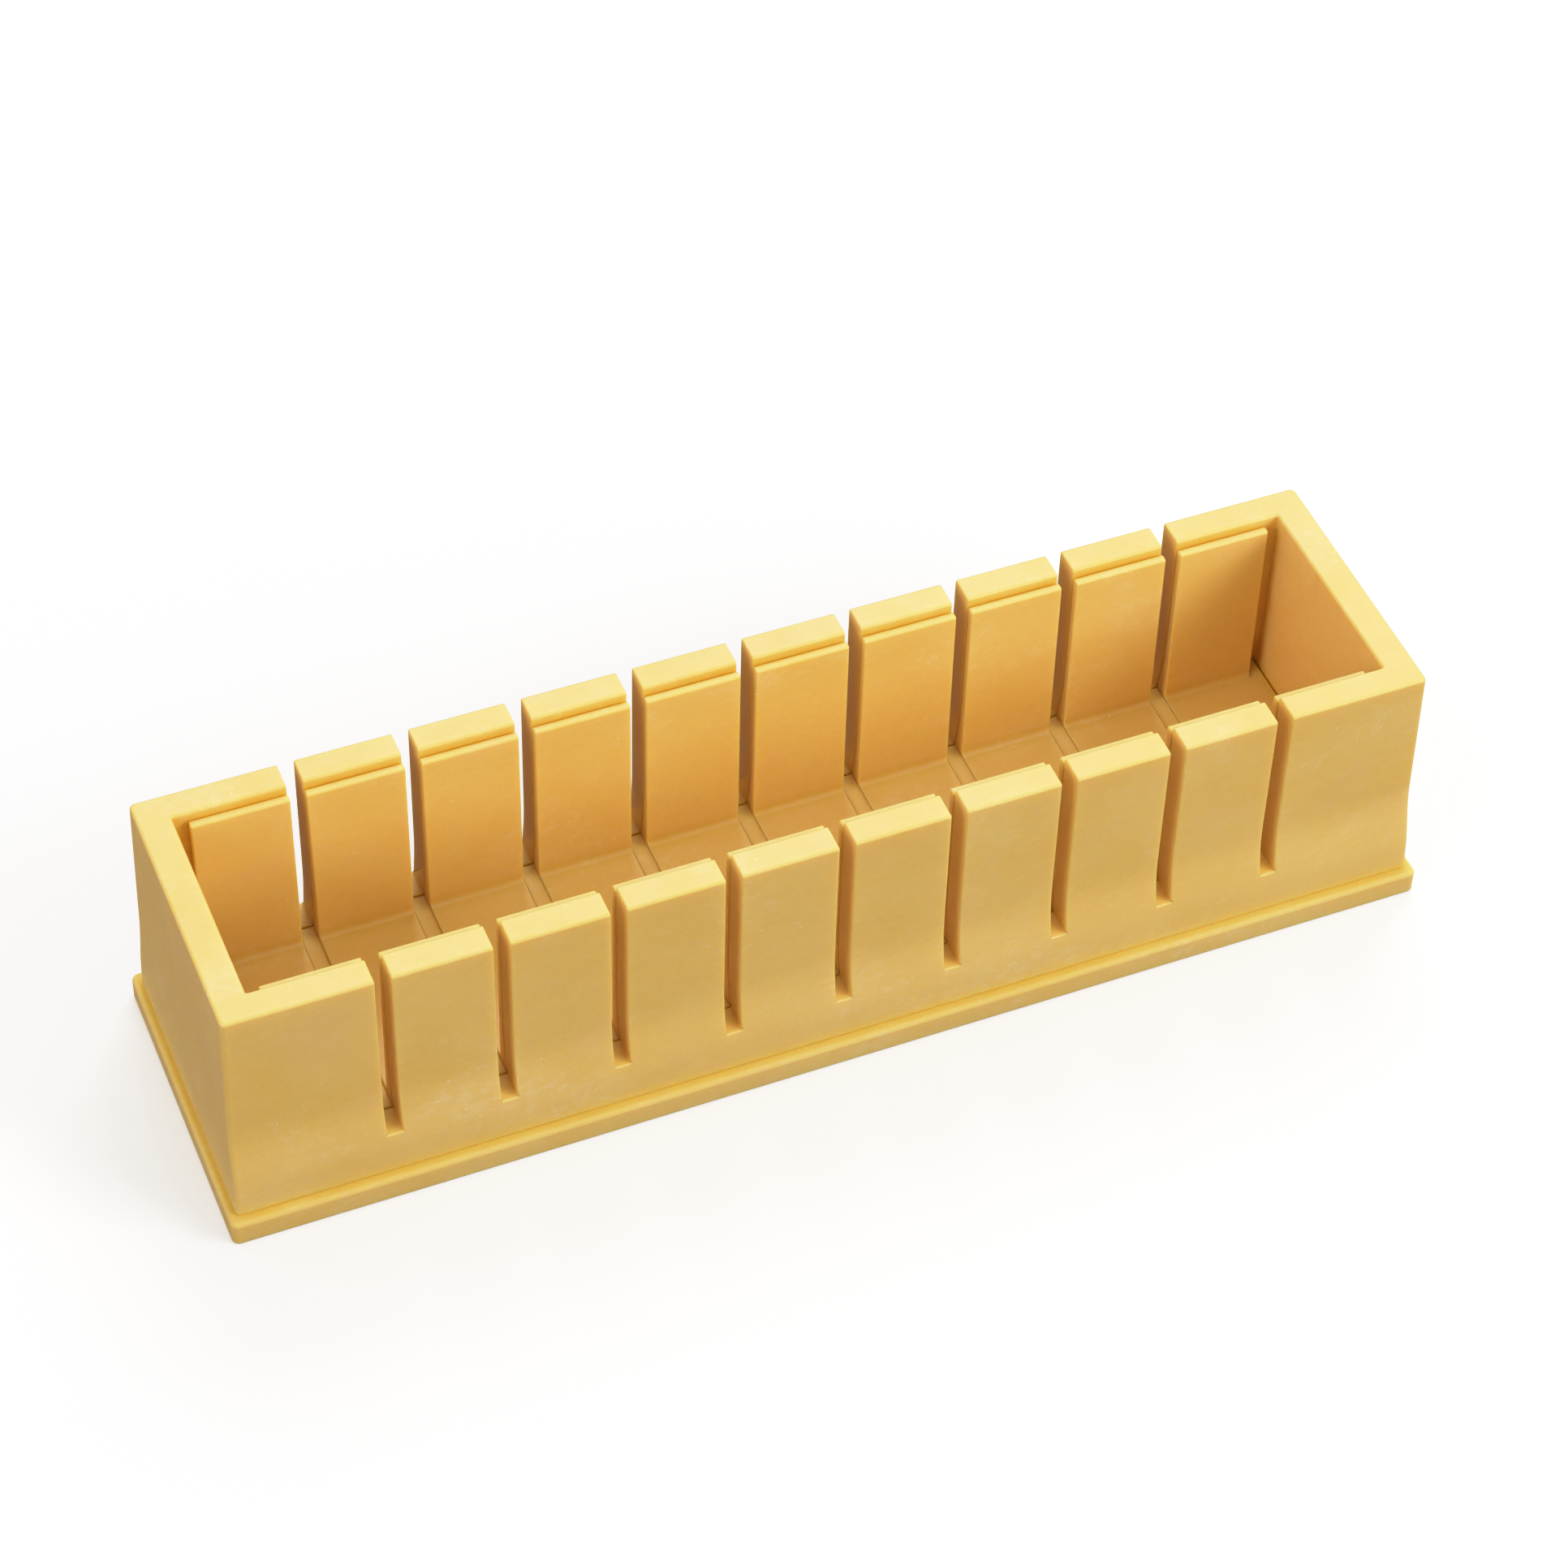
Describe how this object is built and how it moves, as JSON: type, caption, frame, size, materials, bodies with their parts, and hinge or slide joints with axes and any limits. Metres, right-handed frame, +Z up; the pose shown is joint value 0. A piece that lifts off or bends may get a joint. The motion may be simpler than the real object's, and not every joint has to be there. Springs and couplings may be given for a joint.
{
  "type": "sushi roll mould",
  "caption": "Long slotted rice mould: a frame with knife slots stands around a comb-sided trough on a flanged tray.",
  "frame": {"origin": "middle of the footprint, on the table under the tray", "axes": "+X along the mould, -Y towards the side that the picture shows, +Z up"},
  "size_m": [0.2298, 0.0616, 0.0535],
  "materials": {
    "tray_plastic": "butter yellow, satin, slightly translucent",
    "trough_plastic": "butter yellow, satin, slightly translucent",
    "frame_plastic": "butter yellow, satin, slightly translucent"
  },
  "bodies": {
    "base": {"base_tray": "tray_plastic"},
    "trough": {"comb_trough": "trough_plastic"},
    "frame": {"slotted_frame": "frame_plastic"}
  },
  "joints": [
    {"name": "trough_lift", "type": "slide", "parent": "base", "child": "trough", "axis": [0, 0, 1], "range_m": [0, 0.05]},
    {"name": "frame_lift", "type": "slide", "parent": "trough", "child": "frame", "axis": [0, 0, 1], "range_m": [0, 0.06]}
  ]
}
